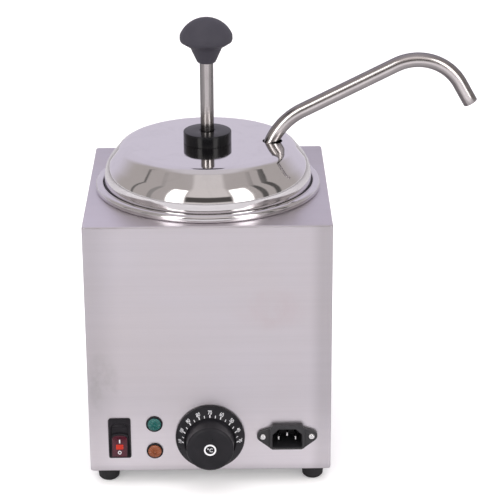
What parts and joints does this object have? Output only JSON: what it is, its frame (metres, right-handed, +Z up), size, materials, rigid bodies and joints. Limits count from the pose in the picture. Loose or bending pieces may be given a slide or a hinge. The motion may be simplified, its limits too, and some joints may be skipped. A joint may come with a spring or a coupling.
{
  "type": "nacho cheese dispenser",
  "caption": "Countertop heated sauce dispenser: square steel water-bath housing with a lift-out jar, a polished pump lid with a push knob, and a bent pouring tube.",
  "frame": {"origin": "centre of the square footprint, on the table plane under the four rubber feet", "axes": "+Z up along the pump axis; -Y out of the front control panel; +X towards the pouring tube's outlet"},
  "size_m": [0.3236, 0.2251, 0.3737],
  "materials": {
    "shell_steel": "brushed stainless sheet, fine grain",
    "polished_steel": "mirror-polished stainless",
    "jar_steel": "polished rim, satin inside",
    "tube_steel": "satin-polished stainless tube",
    "plate_steel": "mill-finish sheet",
    "zinc_fastener": "bright zinc-plated steel",
    "aluminium_cast": "cast, slightly rough",
    "copper_tube": "drawn copper, dull",
    "brass_tab": "stamped brass",
    "rubber_black": "matt moulded rubber",
    "silicone_black": "satin silicone",
    "knob_grey": "matt soft-touch dark grey",
    "collar_black": "glossy black moulding",
    "dial_black": "satin black phenolic moulding",
    "dial_white": "white insert",
    "switch_black": "black nylon moulding",
    "rocker_red": "translucent red lens",
    "lens_green": "translucent green lens",
    "lens_amber": "translucent amber lens",
    "inlet_black": "black nylon moulding, fine texture",
    "bulb_glass": "clear neon bulb glass",
    "food_plastic": "natural white acetal",
    "ceramic_body": "pale thermoset or steatite",
    "insulation_felt": "needled glass-fibre felt",
    "wire_brown": "brown cable sheath",
    "wire_blue": "blue cable sheath",
    "wire_green": "green and yellow cable sheath"
  },
  "bodies": {
    "housing": {"outer_shell": "shell_steel", "bottom_plate": "plate_steel", "bottom_plate_screws": "zinc_fastener", "rubber_feet": "rubber_black", "foot_screws": "zinc_fastener", "foot_nuts": "zinc_fastener", "water_well": "jar_steel", "insulation_wrap": "insulation_felt", "heater_plate": "aluminium_cast", "heater_clamp_bar": "plate_steel", "heater_clamp_nut": "zinc_fastener", "thermal_cutout": "switch_black", "thermostat_body": "ceramic_body", "thermostat_screws": "zinc_fastener", "capillary_bulb": "copper_tube", "switch_housing": "switch_black", "switch_terminals": "brass_tab", "green_lamp_holder": "switch_black", "green_lamp_lens": "lens_green", "amber_lamp_holder": "switch_black", "amber_lamp_lens": "lens_amber", "lamp_bulbs": "bulb_glass", "inlet_housing": "inlet_black", "inlet_pins": "zinc_fastener", "inlet_screws": "zinc_fastener", "inlet_nuts": "zinc_fastener", "terminal_block": "ceramic_body", "live_wires": "wire_brown", "neutral_wires": "wire_blue", "earth_wire": "wire_green", "earth_stud": "brass_tab"},
    "power_rocker": {"rocker": "switch_black", "rocker_lens": "rocker_red"},
    "dial": {"thermostat_shaft": "zinc_fastener", "dial_knob": "dial_black", "dial_cap": "dial_white"},
    "jar": {"sauce_jar": "jar_steel"},
    "gasket": {"lid_gasket": "silicone_black"},
    "lid": {"pump_lid": "polished_steel", "collar_gasket": "silicone_black", "lock_collar": "collar_black", "guide_bush": "food_plastic", "pump_cylinder": "food_plastic", "valve_body": "food_plastic", "intake_cap": "food_plastic", "pouring_tube": "tube_steel", "tube_nut": "food_plastic", "return_spring": "zinc_fastener"},
    "plunger": {"push_rod": "tube_steel", "push_knob": "knob_grey", "piston": "food_plastic", "piston_seal": "silicone_black", "piston_nut": "zinc_fastener"},
    "inlet_valve": {"inlet_ball": "zinc_fastener"},
    "outlet_valve": {"outlet_ball": "zinc_fastener"}
  },
  "joints": [
    {"name": "power_switch", "type": "hinge", "parent": "housing", "child": "power_rocker", "pos_m": [-0.0749, -0.099, 0.0436], "axis": [1, 0, 0], "range_deg": [0, 20]},
    {"name": "thermostat_dial", "type": "hinge", "parent": "housing", "child": "dial", "pos_m": [0, -0.1, 0.0441], "axis": [0, 1, 0], "range_deg": [-126, 96]},
    {"name": "jar_lift", "type": "slide", "parent": "housing", "child": "jar", "axis": [0, 0, 1], "range_m": [0, 0.15]},
    {"name": "lid_lift", "type": "slide", "parent": "jar", "child": "gasket", "axis": [0, 0, 1], "range_m": [0, 0.15]},
    {"name": "lid_turn", "type": "hinge", "parent": "gasket", "child": "lid", "pos_m": [0, 0, 0.2353], "axis": [0, 0, 1], "continuous": true},
    {"name": "pump_stroke", "type": "slide", "parent": "lid", "child": "plunger", "axis": [0, 0, 1], "range_m": [-0.05, 0], "stiffness_N_per_m": 120, "springref_m": 0.04, "deforming": ["return_spring"]},
    {"name": "inlet_ball_lift", "type": "slide", "parent": "lid", "child": "inlet_valve", "axis": [0, 0, 1], "range_m": [0, 0.003]},
    {"name": "outlet_ball_lift", "type": "slide", "parent": "lid", "child": "outlet_valve", "axis": [0, 0, 1], "range_m": [0, 0.003]}
  ]
}
